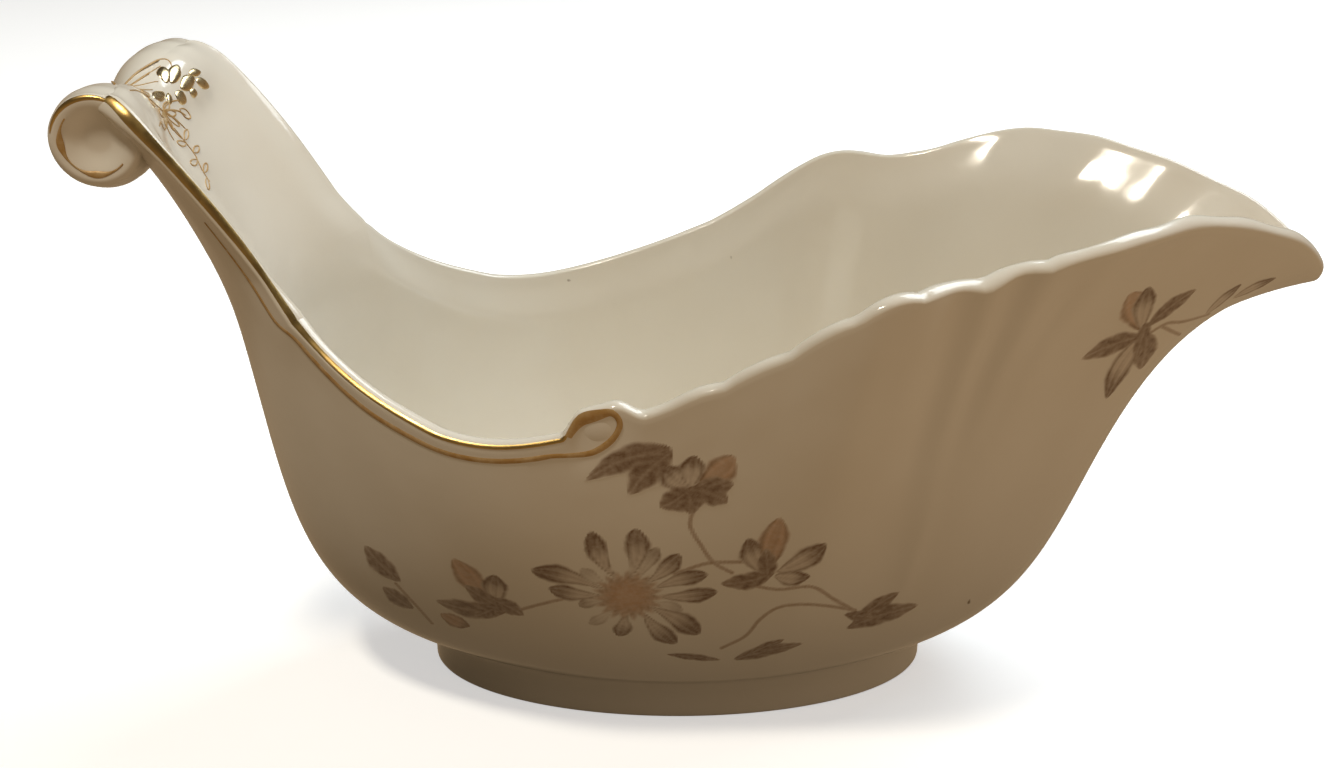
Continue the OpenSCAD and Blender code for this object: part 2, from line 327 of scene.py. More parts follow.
def soften_seam(lower, upper, reach=9, rounds=40):
    """Rounds the change of slope where rows of the bowl run on into rows of the tongue."""
    line = np.concatenate([lower[-reach - 1:], upper[1:reach + 1]])
    k = np.abs(np.arange(len(line)) - reach) / reach
    weight = (1 - ease(0.5, 1, k))[:, None, None]
    for _ in range(rounds):
        even = line.copy()
        even[1:-1] = (line[:-2] + 2 * line[1:-1] + line[2:]) / 4
        line = mix(line, even, weight)
    lower, upper = lower.copy(), upper.copy()
    lower[-reach - 1:] = line[:reach + 1]
    upper[:reach + 1] = line[reach:]
    return lower, upper


def soften_root(rows, tongue, spread=16):
    """Softens the seam, and carries the change at the root on into the free rim."""
    lower, tongue = soften_seam(rows[:, back], tongue)
    for tip, root_column, step in ((0, root_at, -1), (-1, -root_at, 1)):
        change = lower[:, tip] - rows[:, root_column]
        for k in range(1, spread):
            rows[:, root_column + step * k] += change * (1 - ease(0, 1, k / spread))
    rows[:, back] = lower
    return tongue


outer_rows = wall_face(columns, levels[:, None])
inner_rows = wall_face(columns, levels[:, None], inside=True)
q_rows = np.linspace(0, 1, TONGUE_ROWS + 1)[:, None]
tongue_outer = soften_root(outer_rows, tongue_face(q_rows, across, 1, outer_rows[-1, back]))
tongue_inner = soften_root(inner_rows, tongue_face(q_rows, across, -1, inner_rows[-1, back]))


# ---- the rounded lip and tongue edge
def smoothed(points, rounds=6):
    for _ in range(rounds):
        points = points.copy()
        points[1:-1] = (points[:-2] + 2 * points[1:-1] + points[2:]) / 4
    return points


# How far the lip rounds up, as a share of its half thickness.
LIP_RISE = 0.6


def round_roots(rim_count=24, tongue_count=35, rounds=70, fade=14, soft=0.4):
    """Rounds the corner where each side's rim turns up into the tongue's edge, and takes the faces with it.

    The change is worked out on the line of the edge's middle, and fades out over fade mm from it.
    """
    up = slice(1, tongue_count + 1)
    for side, tip in ((FAR, 0), (NEAR, -1)):
        at = side * np.arange(root_at - rim_count, root_at + 1)
        line = np.vstack([outer_rows[-1, at] + inner_rows[-1, at],
                          tongue_outer[up, tip] + tongue_inner[up, tip]]) / 2
        change = smoothed(line, rounds) - line
        for grid in (outer_rows, inner_rows, tongue_outer, tongue_inner):
            gap = np.linalg.norm(grid[..., None, :] - line, axis=-1)
            nearest = gap.min(-1, keepdims=True)
            share = np.exp((nearest - gap) / soft)
            grid += share @ change / share.sum(-1, keepdims=True) * (1 - ease(0, fade, nearest))


round_roots()


class Edge:
    """The rounded edge of one side: round the free rim from the spout tip, then up the tongue."""

    def __init__(self, side):
        rim_at = np.arange(root_at + 1) if side > 0 else -np.arange(root_at + 1)
        tip, inward = (0, 3) if side > 0 else (-1, -4)
        self.outer = np.vstack([outer_rows[-1, rim_at], tongue_outer[1:, tip]])
        self.inner = np.vstack([inner_rows[-1, rim_at], tongue_inner[1:, tip]])
        away = np.vstack([outer_rows[-1, rim_at] - outer_rows[-2, rim_at],
                          tongue_outer[1:, tip] - tongue_outer[1:, inward]])
        line = smoothed(self.outer, 12)
        run = unit(np.gradient(line, axis=0))
        away = unit(away)
        away = unit(away - run * (away * run).sum(-1, keepdims=True))
        # Round the root and up the tongue, the edge's way out turns gently.
        turning = root_at - 30
        self.away = unit(np.vstack([away[:turning], smoothed(away[turning:], 60)]))

    def at(self, turn, i=slice(None)):
        """Points and outward normals, turn degrees over from the outer face."""
        a = math.radians(turn)
        o, n, up = self.outer[i], self.inner[i], self.away[i]
        half = (o - n) / 2
        reach = np.linalg.norm(half, axis=-1, keepdims=True)
        height = reach * LIP_RISE
        point = (o + n) / 2 + half * math.cos(a) + up * height * math.sin(a)
        return point, unit(half / reach * math.cos(a) * height + up * math.sin(a) * reach)


edges = {FAR: Edge(FAR), NEAR: Edge(NEAR)}
LIP_TURNS = np.linspace(0, 180, LIP_ROWS + 2)[1:-1]


# ---- meshes
def shown(name, data):
    thing = bpy.data.objects.new(name, data)
    bpy.context.scene.collection.objects.link(thing)
    return thing


def make_piece(name, points, faces, material, slot, sharp=42, colours=None, normals=None):
    """A closed mesh from millimetre points, riding on the one body."""
    mesh = bpy.data.meshes.new(name)
    points = (np.asarray(points, float) - [MID_X, 0, 0]) * MM
    mesh.from_pydata(points.tolist(), [], faces)
    if colours is not None:
        layer = mesh.attributes.new("ink", "FLOAT_COLOR", "POINT")
        layer.data.foreach_set("color", np.asarray(colours, np.float32).ravel())
    mesh.shade_smooth()
    if normals is None:
        mesh.set_sharp_from_angle(angle=math.radians(sharp))
    else:
        mesh.normals_split_custom_set_from_vertices(np.asarray(normals).tolist())
    mesh.materials.append(material)
    piece = shown(name, mesh)
    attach(piece, "root")
    return piece


def flipped(faces):
    return [tuple(reversed(face)) for face in faces]


def ring_quads(rings, n):
    """Faces between successive closed rings of n points."""
    return [(i * n + j, i * n + (j + 1) % n, (i + 1) * n + (j + 1) % n, (i + 1) * n + j)
            for i in range(rings - 1) for j in range(n)]


def sheet_faces(cells):
    """Faces of a thin closed sheet over the true cells of a grid, and which grid points it uses.

    The sheet's points are the used points of its top, and then the same points of its base.
    """
    around = np.pad(cells, 1)
    used = around[:-1, :-1] | around[1:, :-1] | around[:-1, 1:] | around[1:, 1:]
    number = np.cumsum(used.ravel()).reshape(used.shape) - 1
    size = int(used.sum())
    corners = ((0, 0), (1, 0), (1, 1), (0, 1))
    beside = ((0, -1), (1, 0), (0, 1), (-1, 0))
    faces = []
    for i, j in np.argwhere(cells):
        a, b, c, d = (int(number[i + di, j + dj]) for di, dj in corners)
        faces += [(a, b, c, d), (size + d, size + c, size + b, size + a)]
        for (k, m), (di, dj) in zip(((a, b), (b, c), (c, d), (d, a)), beside):
            if not around[i + di + 1, j + dj + 1]:
                faces.append((m, k, size + k, size + m))
    return faces, used


def facing(faces, points, normals):
    """The same faces, turned round if the first one points against its normal."""
    a, b, c = (points[k] for k in faces[0][:3])
    return flipped(faces) if np.dot(np.cross(b - a, c - a), normals[faces[0][0]]) < 0 else faces


def skin(rings, start, end):
    """Points and faces of a closed skin through equal rings, with a point at each end."""
    rings = np.asarray(rings)
    m, n = rings.shape[:2]
    points = np.vstack([rings.reshape(-1, 3), start, end])
    faces = ring_quads(m, n)
    faces += [(m * n, (j + 1) % n, j) for j in range(n)]
    faces += [(m * n + 1, (m - 1) * n + j, (m - 1) * n + (j + 1) % n) for j in range(n)]
    return points, faces


def lip_rows():
    """A rounded lip on the free rim, flat where the tongue is joined on."""
    rows = []
    for turn in LIP_TURNS:
        row = mix(inner_rows[-1], outer_rows[-1], 0.5 + 0.5 * math.cos(math.radians(turn)))
        row[:root_at + 1] = edges[FAR].at(turn)[0][:root_at + 1]
        row[-root_at:] = edges[NEAR].at(turn)[0][root_at:0:-1]
        rows.append(row)
    return rows


def shrunk(ring, k, z):
    """A smaller ring for the bowl's base or floor, levelling out at height z."""
    return np.stack([ring[:, 0] * k, ring[:, 1] * k, mix(z, ring[:, 2], k ** 4)], -1)


def build_bowl(material):
    base_z = FOOT_H + 0.5
    sizes = np.linspace(1, 0, FLOOR_RINGS + 1)[1:-1]
    underside = [shrunk(outer_rows[0], k, base_z) for k in sizes[::-1]]
    floor = [shrunk(inner_rows[0], k, FLOOR_Z) for k in sizes]
    rings = underside + list(outer_rows) + lip_rows() + list(inner_rows[::-1]) + floor
    points, faces = skin(rings, [0, 0, base_z], [0, 0, FLOOR_Z])
    piece = make_piece("bowl_body", points, faces, material, "porcelain")
    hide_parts("bowl")


def build_tongue(material):
    turned = [[edges[side].at(turn)[0][root_at:, None] for turn in turns]
              for side, turns in ((NEAR, LIP_TURNS), (FAR, LIP_TURNS[::-1]))]
    rings = np.concatenate([tongue_outer, *turned[0], tongue_inner[:, ::-1], *turned[1]], axis=1)
    m, n = rings.shape[:2]
    nv = len(across)
    opposite = [2 * nv + LIP_ROWS - 1 - k for k in range(nv)]
    cap = [(k, opposite[k], opposite[k + 1], k + 1) for k in range(nv - 1)]
    cap.append(tuple(range(nv - 1, nv + LIP_ROWS + 1))[::-1])
    cap.append((0, *range(n - 1, 2 * nv + LIP_ROWS - 2, -1)))
    faces = ring_quads(m, n) + cap
    faces += [tuple((m - 1) * n + i for i in reversed(f)) for f in cap]
    piece = make_piece("handle_tongue", rings.reshape(-1, 3), flipped(faces), material, "porcelain", sharp=60)
    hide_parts("tongue")


def oval(half, z, n=240):
    a = np.linspace(0, 2 * math.pi, n, endpoint=False)
    return np.stack([FOOT_X + half[0] * np.cos(a), half[1] * np.sin(a), 0 * a + z], -1)


STANDING_ROUND = 1.0
ROUND_TURNS = np.radians([90, 68, 45, 22])
TUCK = 0.4


def build_foot(material):
    """The foot: an open oval ring with a waisted outside and a rounded standing edge."""
    base = FOOT_HALF - FOOT_TAPER
    inside = base - FOOT_WALL
    r, top = STANDING_ROUND, FOOT_H + TUCK
    rings = []
    for t in np.linspace(0, 1, 13):
        half = mix(FOOT_HALF, base, 1 - (1 - t) ** 2.2) + 0.35 * ease(0.16, 0, t)
        rings.append(oval(half, mix(top, r, t)))
    for a in ROUND_TURNS[::-1]:
        rings.append(oval(base - r + r * math.cos(a), r - r * math.sin(a)))
    for a in [*ROUND_TURNS, 0]:
        rings.append(oval(inside + r - r * math.cos(a), r - r * math.sin(a)))
    for t in np.linspace(0, 1, 7)[1:]:
        rings.append(oval(inside - t, mix(r, top, t)))
    m, n = len(rings), len(rings[0])
    faces = ring_quads(m, n)
    faces += [((m - 1) * n + j, (m - 1) * n + (j + 1) % n, (j + 1) % n, j) for j in range(n)]
    piece = make_piece("foot", np.concatenate(rings), flipped(faces), material, "porcelain", sharp=70)
    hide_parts("foot_ring")


def scroll_ring(v, share, y, n=72):
    return arc(scroll_centre(v), float(scroll_radius(v)) * share,
               np.linspace(0, 2 * math.pi, n, endpoint=False), y)


def dish_depth(share):
    """How far a scroll's end is hollowed, at this share of its radius."""
    return SCROLL_DISH * (1 - ease(0.25, 0.84, share))


def scroll_end_rings(side):
    """Rings from the middle of a dished end out to its rounded edge."""
    rings = [scroll_ring(side, share, side * (SCROLL_HALF - dish_depth(share)))
             for share in np.linspace(0.06, 0.84, 12)]
    for a in ROUND_TURNS:
        rings.append(scroll_ring(side, 0.86 + 0.14 * math.cos(a), side * (SCROLL_HALF - 1 + math.sin(a))))
    return rings


def build_scroll(material):
    body = [scroll_ring(v, 1, v * SCROLL_HALF) for v in np.linspace(0.955, -0.955, 72)]
    rings = scroll_end_rings(FAR) + body + scroll_end_rings(NEAR)[::-1]
    tips = [arc(scroll_centre(side), 0, 0.0, side * (SCROLL_HALF - SCROLL_DISH)) for side in (FAR, NEAR)]
    points, faces = skin(rings, *tips)
    piece = make_piece("handle_scroll", points, flipped(faces), material, "porcelain")
    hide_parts("scroll")


# ---- places on the wall and the tongue
grid_s = np.linspace(0, FREE_SHARE, 161)
grid_t = np.linspace(0.02, 1, 99)
wall_grid = smooth_wall(grid_s[:, None], grid_t)


def lifted_wall(s, t, side):
    """The (x, z) of the plain wall with its rim's step and scallops."""
    p = smooth_wall(s, t)
    p[..., 2] += rim_lift(s, t, side)
    return p[..., [0, 2]]


def find_wall(x, z, side):
    """The (s, t) of the wall at height z and place x along the boat."""
    x, z = paired(x, z)
    flat = wall_grid[..., [0, 2]].reshape(-1, 2)
    goal = np.stack([x.ravel(), z.ravel()], -1)
    nearest = np.array([np.argmin(((flat - g) ** 2).sum(-1)) for g in goal])
    s, t = grid_s[nearest // len(grid_t)], grid_t[nearest % len(grid_t)]
    # A few Newton steps from the nearest grid place, each held to a small move.
    e, furthest = 1e-3, 0.02
    for _ in range(8):
        p = lifted_wall(s, t, side)
        ds = (lifted_wall(s + e, t, side) - p) / e
        dt = (p - lifted_wall(s, t - e, side)) / e
        gap = goal - p
        area = ds[:, 0] * dt[:, 1] - ds[:, 1] * dt[:, 0]
        s_move = (gap[:, 0] * dt[:, 1] - gap[:, 1] * dt[:, 0]) / area
        t_move = (ds[:, 0] * gap[:, 1] - ds[:, 1] * gap[:, 0]) / area
        s = np.clip(s + np.clip(s_move, -furthest, furthest), 0, 1)
        t = np.clip(t + np.clip(t_move, -furthest, furthest), 0, 1)
    return s.reshape(x.shape), t.reshape(x.shape)


def outside_normal(s, t, side):
    return unit(side * cross_slopes(lambda s, t: wall_face(side * s, t), s, t, 0.002, a_low=1e-6))


def on_wall(places, side=NEAR):
    """Points and outward normals on the finished outside wall at (x, z) places."""
    s, t = find_wall(places[..., 0], places[..., 1], side)
    return wall_face(side * s, t), outside_normal(s, t, side)


def tongue_profiles():
    """Lines up the inside of the tongue and over the scroll, and their run in mm from the tongue's end."""
    lines = []
    for k, v in enumerate(across):
        c, r = scroll_centre(v), float(scroll_radius(v))
        end = tongue_inner[-1, k]
        start = math.atan2(end[2] - c[1], end[0] - c[0])
        over = arc(c, r, np.linspace(start, 3.4, 30)[1:], end[1])
        lines.append(np.vstack([tongue_inner[:, k], over]))
    lines = np.array(lines)
    steps = np.linalg.norm(np.diff(lines, axis=1), axis=2)
    runs = np.concatenate([np.zeros((len(lines), 1)), np.cumsum(steps, axis=1)], 1)
    return lines, runs - runs[:, TONGUE_ROWS:TONGUE_ROWS + 1]


def on_tongue(places):
    """Points and normals on the inside of the tongue at (y, run) places."""
    lines, runs = tongue_profiles()
    lines, runs = lines[::-1], runs[::-1]
    y, run = places[..., 0].ravel(), places[..., 1].ravel()

    def at(y, run):
        column = np.interp(y, lines[:, TONGUE_ROWS, 1], np.arange(len(lines)))
        c = np.clip(column.astype(int), 0, len(lines) - 2)
        f = (column - c)[:, None]
        left, right = (np.array([[np.interp(way, runs[k], lines[k, :, axis]) for axis in range(3)]
                                 for k, way in zip(each, run)]) for each in (c, c + 1))
        return mix(left, right, f)

    e = 0.6
    p = at(y, run)
    n = unit(np.cross(at(y, run + e) - at(y, run - e), at(y + e, run) - at(y - e, run)))
    shape = places.shape[:-1] + (3,)
    return p.reshape(shape), (n * np.sign(n[:, :1] + n[:, 2:])).reshape(shape)


# ---- ribbons laid on a surface
def joined(parts):
    """Several patches or ribbons as one mesh."""
    faces, first = [], 0
    for points, part_faces in parts:
        faces += [tuple(first + i for i in face) for face in part_faces]
        first += len(points)
    return np.concatenate([points for points, _ in parts]), faces


def resampled(points, step):
    """The same line with points at an even spacing."""
    points = np.asarray(points, float)
    run = np.concatenate([[0], np.cumsum(np.linalg.norm(np.diff(points, axis=0), axis=1))])
    n = max(4, int(run[-1] / step))
    at = np.linspace(0, run[-1], n)
    return np.stack([np.interp(at, run, points[:, k]) for k in range(points.shape[1])], -1)


def curve_through(places, step=0.6):
    """A smooth line through given points, by Catmull-Rom spans."""
    places = np.asarray(places, float)
    line = np.vstack([2 * places[0] - places[1], places, 2 * places[-1] - places[-2]])
    out = []
    for i in range(len(places) - 1):
        out += [catmull_rom(*line[i:i + 4], f) for f in np.linspace(0, 1, 16, endpoint=False)]
    out.append(places[-1])
    return resampled(out, step)


def ribbon(points, normals, widths, height=0.16):
    """A closed strip with a low round back, along a line of surface points."""
    tangent = unit(np.gradient(points, axis=0))
    normals = unit(normals - tangent * (normals * tangent).sum(-1, keepdims=True))
    sideways = np.cross(tangent, normals)
    widths = np.broadcast_to(np.asarray(widths, float), len(points))[:, None]
    shoulder = height * 0.7
    profile = [(-0.5, -0.12), (-0.36, shoulder), (0, height), (0.36, shoulder), (0.5, -0.12), (0, -0.25)]
    rings = np.stack([points + sideways * w * widths + normals * h for w, h in profile], 1)
    return skin(rings, points[0], points[-1])


# ---- materials
def put(socket, value):
    """Gives a socket its value, or links another socket to it."""
    if isinstance(value, bpy.types.NodeSocket):
        socket.id_data.links.new(value, socket)
    else:
        socket.default_value = value


def wire(node, **values):
    """Fills a node's sockets. An underscore stands for a space in a socket's name."""
    for key, value in values.items():
        put(node.inputs[key.replace("_", " ")], value)


class Nodes:
    """Short names for building a node material."""

    def __init__(self, name):
        self.material = bpy.data.materials.new(name)
        self.material.use_nodes = True
        self.tree = self.material.node_tree
        self.shader = self.tree.nodes["Principled BSDF"]
        self.place = self.tree.nodes.new("ShaderNodeTexCoord").outputs["Object"]

    def look(self, **values):
        wire(self.shader, **values)

    def noise(self, scale, detail=3.0, rough=0.5):
        node = self.tree.nodes.new("ShaderNodeTexNoise")
        wire(node, Scale=scale, Detail=detail, Roughness=rough, Vector=self.place)
        return node.outputs["Fac"]

    def range(self, value, low, high, to_low=0.0, to_high=1.0):
        node = self.tree.nodes.new("ShaderNodeMapRange")
        wire(node, From_Min=low, From_Max=high, To_Min=to_low, To_Max=to_high, Value=value)
        return node.outputs["Result"]

    def maths(self, how, a, b):
        node = self.tree.nodes.new("ShaderNodeMath")
        node.operation = how
        node.use_clamp = True
        put(node.inputs[0], a)
        put(node.inputs[1], b)
        return node.outputs["Value"]

    def blend(self, share, a, b):
        """Mixes two colours, each a colour tuple or a socket."""
        return blended(self.tree, share, *((*c, 1) if isinstance(c, tuple) else c for c in (a, b)))

    def bump(self, height, distance):
        node = self.tree.nodes.new("ShaderNodeBump")
        wire(node, Distance=distance, Strength=1.0, Height=height)
        self.look(Normal=node.outputs["Normal"])


def blended(tree, share, a, b):
    """A mix node's colour. Its colour sockets share their names with others, so they go by number."""
    node = tree.nodes.new("ShaderNodeMix")
    node.data_type = "RGBA"
    wire(node, Factor=share)
    put(node.inputs[6], a)
    put(node.inputs[7], b)
    return node.outputs[2]


IVORY = (0.80, 0.755, 0.665)
WARM_IVORY = (0.755, 0.70, 0.60)
FLECK = (0.20, 0.14, 0.09)
BISCUIT = (0.62, 0.54, 0.42)
SALMON_INK = (0.60, 0.40, 0.26)
DARK_INK = (0.19, 0.112, 0.058)
OCHRE = (0.46, 0.27, 0.09)
PALE_OCHRE = (0.57, 0.40, 0.20)
BURNISHED_GOLD = (0.72, 0.48, 0.17)
RELIEF_GOLD = (0.90, 0.72, 0.42)
GLAZE_IOR = 1.5
SKIN_DEPTH = 0.00006


def glaze_colour(nodes):
    """Cloudy ivory glaze with a few tiny iron flecks."""
    cloudy = nodes.blend(nodes.range(nodes.noise(26), 0.35, 0.7), IVORY, WARM_IVORY)
    fleck = nodes.range(nodes.noise(330, 0), 0.925, 0.95)
    return nodes.blend(fleck, cloudy, FLECK)


def glaze_surface(nodes):
    """Glossy glaze with a faint orange-peel skin."""
    nodes.look(IOR=GLAZE_IOR, Coat_Weight=0.25, Coat_Roughness=0.04,
               Roughness=nodes.range(nodes.noise(60), 0.3, 0.7, 0.10, 0.17))
    nodes.bump(nodes.noise(150, 2.0), SKIN_DEPTH)


def glaze_material():
    nodes = Nodes("glazed_porcelain")
    nodes.look(Base_Color=glaze_colour(nodes))
    glaze_surface(nodes)
    return nodes.material


def foot_material():
    """The same glaze, worn back to bare biscuit where the foot stands."""
    nodes = Nodes("porcelain_foot")
    height = nodes.tree.nodes.new("ShaderNodeSeparateXYZ")
    wire(height, Vector=nodes.place)
    uneven = nodes.range(nodes.noise(300), 0, 1, -0.0003, 0.0003)
    bare = nodes.range(nodes.maths("ADD", height.outputs["Z"], uneven), 0.0007, 0.0002)
    nodes.look(Base_Color=nodes.blend(bare, glaze_colour(nodes), BISCUIT), IOR=GLAZE_IOR,
               Roughness=nodes.range(bare, 0, 1, 0.13, 0.7))
    nodes.bump(nodes.noise(150, 2.0), SKIN_DEPTH)
    return nodes.material


def print_material():
    """Under-glaze print: the piece's ink colour sets how much dark and salmon lie on the glaze."""
    nodes = Nodes("printed_flowers")
    ink = nodes.tree.nodes.new("ShaderNodeAttribute")
    ink.attribute_name = "ink"
    parts = nodes.tree.nodes.new("ShaderNodeSeparateColor")
    wire(parts, Color=ink.outputs["Color"])
    dark, salmon = parts.outputs[:2]
    wash = nodes.range(nodes.noise(1100, 4.0, 0.6), 0.3, 0.7, 0.8, 1.12)
    colour = nodes.blend(nodes.maths("MULTIPLY", salmon, wash), glaze_colour(nodes), SALMON_INK)
    nodes.look(Base_Color=nodes.blend(nodes.maths("MULTIPLY", dark, wash), colour, DARK_INK))
    glaze_surface(nodes)
    return nodes.material


def gold_material(name, colour, rough):
    """Burnished gilding: brushed, a little uneven, and rubbed thin in places."""
    nodes = Nodes(name)
    deep, thin = (tuple(c * share for c in colour) for share in (0.72, 0.55))
    worn = nodes.range(nodes.noise(700, 4.0, 0.7), 0.62, 0.78)
    shade = nodes.blend(nodes.range(nodes.noise(180), 0.35, 0.65), colour, deep)
    nodes.look(Base_Color=nodes.blend(worn, shade, thin), Metallic=1.0,
               Roughness=nodes.range(nodes.noise(500, 4.0), 0.3, 0.7, rough, rough + 0.12))
    nodes.bump(nodes.noise(1200, 3.0), 0.00002)
    return nodes.material


def worn_gilding_material():
    """Thin gilding that has worn to a soft ochre brown."""
    nodes = Nodes("worn_gilding")
    worn = nodes.range(nodes.noise(420, 4.0, 0.7), 0.4, 0.65)
    nodes.look(Base_Color=nodes.blend(worn, OCHRE, PALE_OCHRE), Metallic=0.2,
               Roughness=nodes.range(nodes.noise(600), 0.3, 0.7, 0.32, 0.5))
    return nodes.material


# ---- gilding
KNOB = np.array([-10.9, 62.8])
KNOB_HALF = (2.4, 2.0)
BOSS_RISE = 0.22
BOSS_SINK = 0.06
GILT_TURNS = np.linspace(26, 80, 9)
GILT_FILM = 0.05
GILT_SINK = 0.12
GILT_START_X = -14.4
LOW_LINE_START_X = -17.5


def rim_gilding(side):
    """The line along the outer half of the lip and up the edge of the tongue, over the scroll's end."""
    edge = edges[side]
    start = int(np.searchsorted(free_shares, share_at(GILT_START_X)))
    at = range(start, root_at + TONGUE_ROWS - 1)
    run = np.linspace(0, 1, len(at))
    taper = ease(-0.02, 0.02, run) * (0.8 + 0.65 * ease(0.5, 0.72, run) - 0.6 * ease(0.88, 1, run))
    taper = np.clip(taper, 0.05, 2)
    # Degrees over the edge: low on the lip's outer half, then up on to the middle of the tongue's edge.
    middle = 26 + 30 * ease(0.2, 0.52, run) + 34 * ease(0.48, 0.66, run) + 20 * ease(0.86, 1, run)
    rings = []
    for i, turn, width in zip(at, middle, taper):
        # The turns are laid out about the line's middle, so that its ends can narrow.
        spots = [edge.at(turn + (each - GILT_TURNS.mean()) * width, i) for each in GILT_TURNS]
        rings.append([p + n * GILT_FILM for p, n in spots] + [p - n * GILT_SINK for p, n in spots[::-1]])
    rings = np.array(rings)
    return skin(rings, rings[0].mean(0), rings[-1].mean(0))


def scroll_end_gilding(side, count=40):
    """The line goes on round the upper edge of the scroll's end."""
    angles = np.radians(np.linspace(58, 170, count))
    p = arc(scroll_centre(side), float(scroll_radius(side)) * 0.93, angles, side * (SCROLL_HALF - 0.1))
    widths = 0.15 + 0.75 * np.sin(np.linspace(0.15, math.pi, count)) ** 0.6
    return ribbon(p, unit(arc((0, 0), 0.5, angles, side)), widths, 0.05)


def on_rows(s, t, side):
    """A point of the finished outside rows, bowl only."""
    rows = outer_rows[:, side * np.arange(len(half_shares))]
    i = np.interp(t, levels, np.arange(len(levels)))
    j = np.interp(s, half_shares, np.arange(len(half_shares)))
    i0 = np.clip(i.astype(int), 0, len(levels) - 2)
    j0 = np.clip(j.astype(int), 0, len(half_shares) - 2)
    fi, fj = (i - i0)[:, None], (j - j0)[:, None]
    lower, upper = (mix(rows[k, j0], rows[k, j0 + 1], fj) for k in (i0, i0 + 1))
    return mix(lower, upper, fi)


def low_line(side):
    """Points and normals of the line that runs just below the rim, then up beside the tongue's edge."""
    up_share = 0.93
    s = np.linspace(share_at(LOW_LINE_START_X), FREE_SHARE - 0.012, 80)
    below_rim = 2.1 + 0.9 * ease(0.62, 0.8, s)
    t = 1 - below_rim / (4 * along(RUN_IN, s))
    turn_in = np.linspace(0, 1, 10)[1:]
    s = np.concatenate([s, mix(s[-1], 1 - (1 - FREE_SHARE) * up_share, turn_in)])
    t = np.concatenate([t, mix(t[-1], 1, turn_in)])
    p = on_rows(s, t, side)
    n = cross_slopes(lambda s, t: on_rows(s, t, side), s, t, 0.004)
    column = float(np.interp(side * up_share, across[::-1], np.arange(len(across))[::-1]))
    rows = slice(1, int(TONGUE_ROWS * 0.42))
    c, f = int(column), column - int(column)
    first, second = tongue_outer[rows, c], tongue_outer[rows, c + 1]
    up = mix(first, second, f)
    up_n = np.cross(second - first, np.gradient(first, axis=0))
    n, up_n = unit(n * side), unit(up_n)
    up_n = up_n * np.sign(-up_n[:, :1])
    points = resampled(np.hstack([np.vstack([p, up]), np.vstack([n, up_n])]), 0.7)
    points = smoothed(points, 10)
    return points[:, :3], unit(points[:, 3:])


def low_gilding(side):
    """The thinner line below the rim, fading out up the side of the tongue."""
    p, n = low_line(side)
    run = np.linspace(0, 1, len(p))
    widths = np.clip(1.1 * ease(-0.05, 0.03, run) * (1 - 0.75 * ease(0.55, 1, run)), 0.08, 2)
    return ribbon(p + n * 0.07, n, widths, 0.05)


HOOK = [(-12.7, 58.9), (-10.1, 60.2), (-8.4, 62.0), (-7.6, 64.1), (-8.4, 65.7), (-10.1, 66.3),
        (-11.8, 65.8), (-13.3, 64.6), (-15.3, 62.6)]


def hook_gilding():
    """The hook of gilding round the C scroll, from the low line up and over to the rim line."""
    start = low_line(NEAR)[0][[6, 0], :][:, [0, 2]]
    p, n = on_wall(curve_through([*start, *HOOK], 0.35))
    run = np.linspace(0, 1, len(p))
    widths = 0.9 + 0.3 * hump(run, 0.45, 0.15) + 1.4 * hump(run, 0.85, 0.12)
    return ribbon(smoothed(p, 4) + n * GILT_FILM, n, widths, 0.1)


def build_gilding(gold, ochre):
    for side, word in SIDES:
        points, faces = joined([rim_gilding(side), scroll_end_gilding(side)])
        piece = make_piece("gilding_" + word, points, faces, gold, "gilding", sharp=80)
        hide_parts("gilt_rim_" + word)
        parts = [low_gilding(side)] + ([hook_gilding()] if side == NEAR else [])
        points, faces = joined(parts)
        make_piece("low_gilding_" + word, points, faces, ochre, "gilding", sharp=80)


VOLUTE_SHARE = 0.66


def build_volutes(material):
    """A crescent of gold in each end of the scroll."""
    angles = np.radians(np.linspace(140, 318, 60))
    widths = 0.25 + 0.95 * sum(hump(angles, math.radians(turn), 0.35) for turn in (186, 268))
    depth = SCROLL_HALF - float(dish_depth(VOLUTE_SHARE / 0.9))
    for side, word in SIDES:
        p = arc(scroll_centre(side), SCROLL_END_R * VOLUTE_SHARE, angles, side * (depth + GILT_FILM))
        points, faces = ribbon(p, unit(arc((0, 0), -0.2, angles, side)), widths, 0.08)
        piece = make_piece("volute_gold_" + word, points, faces, material, "gilding", sharp=80)
        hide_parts("gilt_volute_" + word)


def build_rim_scroll(material):
    """The raised boss inside the hook of the C scroll, laid on the wall."""
    a = np.linspace(0, 2 * math.pi, 48, endpoint=False)
    around = np.stack([np.cos(a), np.sin(a)], -1) * KNOB_HALF
    rings = []
    for share in np.linspace(1, 0.08, 12):
        p, n = on_wall(KNOB + share * around)
        rings.append(p + n * (BOSS_RISE * (1 - share ** 2) - BOSS_SINK))
    p, n = (each[0] for each in on_wall(KNOB[None, :]))
    root = n * 0.8
    points, faces = skin([rings[0] - root] + rings, p - root, p + n * (BOSS_RISE - BOSS_SINK))
    piece = make_piece("rim_boss", points, faces, material, "porcelain")
    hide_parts("rim_scroll")


